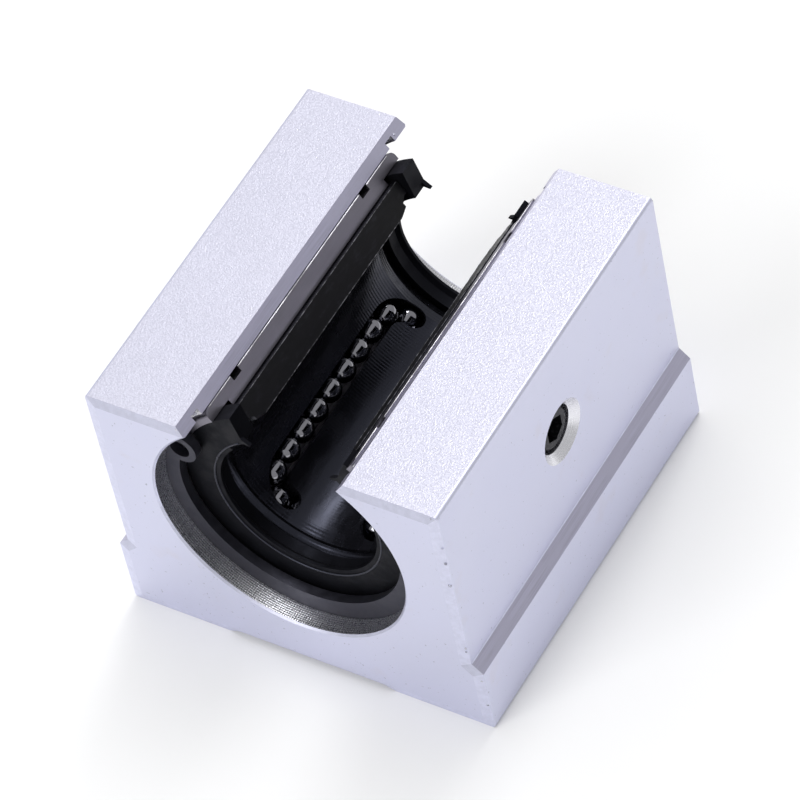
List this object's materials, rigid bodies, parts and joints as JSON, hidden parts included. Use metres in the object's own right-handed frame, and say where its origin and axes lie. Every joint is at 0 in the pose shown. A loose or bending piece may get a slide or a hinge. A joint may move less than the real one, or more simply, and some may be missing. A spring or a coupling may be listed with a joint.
{
  "type": "linear bearing block",
  "caption": "Open linear ball bearing in an aluminium pillow block: slotted steel sleeve, resin ball cage with recirculating balls, end seals, retaining rings and a set screw.",
  "frame": {"origin": "centre of the mounting face, on the plane that the block is bolted down on", "axes": "+Z away from the mounting face, up through the shaft to the open slot; Y along the shaft, front at -Y; +X to the side that has the set screw"},
  "size_m": [0.048, 0.05, 0.0371],
  "materials": {
    "anodised_aluminium": "sand-blasted, silver anodised; bore and end edges bright machined",
    "bearing_steel": "hardened, ground outside, darkened cut faces",
    "ball_steel": "polished",
    "black_resin": "moulded, satin gloss",
    "black_rubber": "moulded, smooth",
    "phosphated_steel": "dark phosphate, oiled",
    "black_oxide_steel": "black oxide"
  },
  "bodies": {
    "root": {"ball_retainer": "black_resin", "circuit_1_back_turn_balls": "ball_steel", "circuit_1_front_turn_balls": "ball_steel", "circuit_1_load_balls": "ball_steel", "circuit_1_return_balls": "ball_steel", "circuit_2_back_turn_balls": "ball_steel", "circuit_2_front_turn_balls": "ball_steel", "circuit_2_load_balls": "ball_steel", "circuit_2_return_balls": "ball_steel", "circuit_3_back_turn_balls": "ball_steel", "circuit_3_front_turn_balls": "ball_steel", "circuit_3_load_balls": "ball_steel", "circuit_3_return_balls": "ball_steel", "circuit_4_back_turn_balls": "ball_steel", "circuit_4_front_turn_balls": "ball_steel", "circuit_4_load_balls": "ball_steel", "circuit_4_return_balls": "ball_steel", "end_seal_back": "black_rubber", "end_seal_front": "black_rubber", "housing_block": "anodised_aluminium", "outer_sleeve": "bearing_steel", "retaining_ring_back": "phosphated_steel", "retaining_ring_front": "phosphated_steel", "set_screw": "black_oxide_steel"}
  },
  "joints": []
}
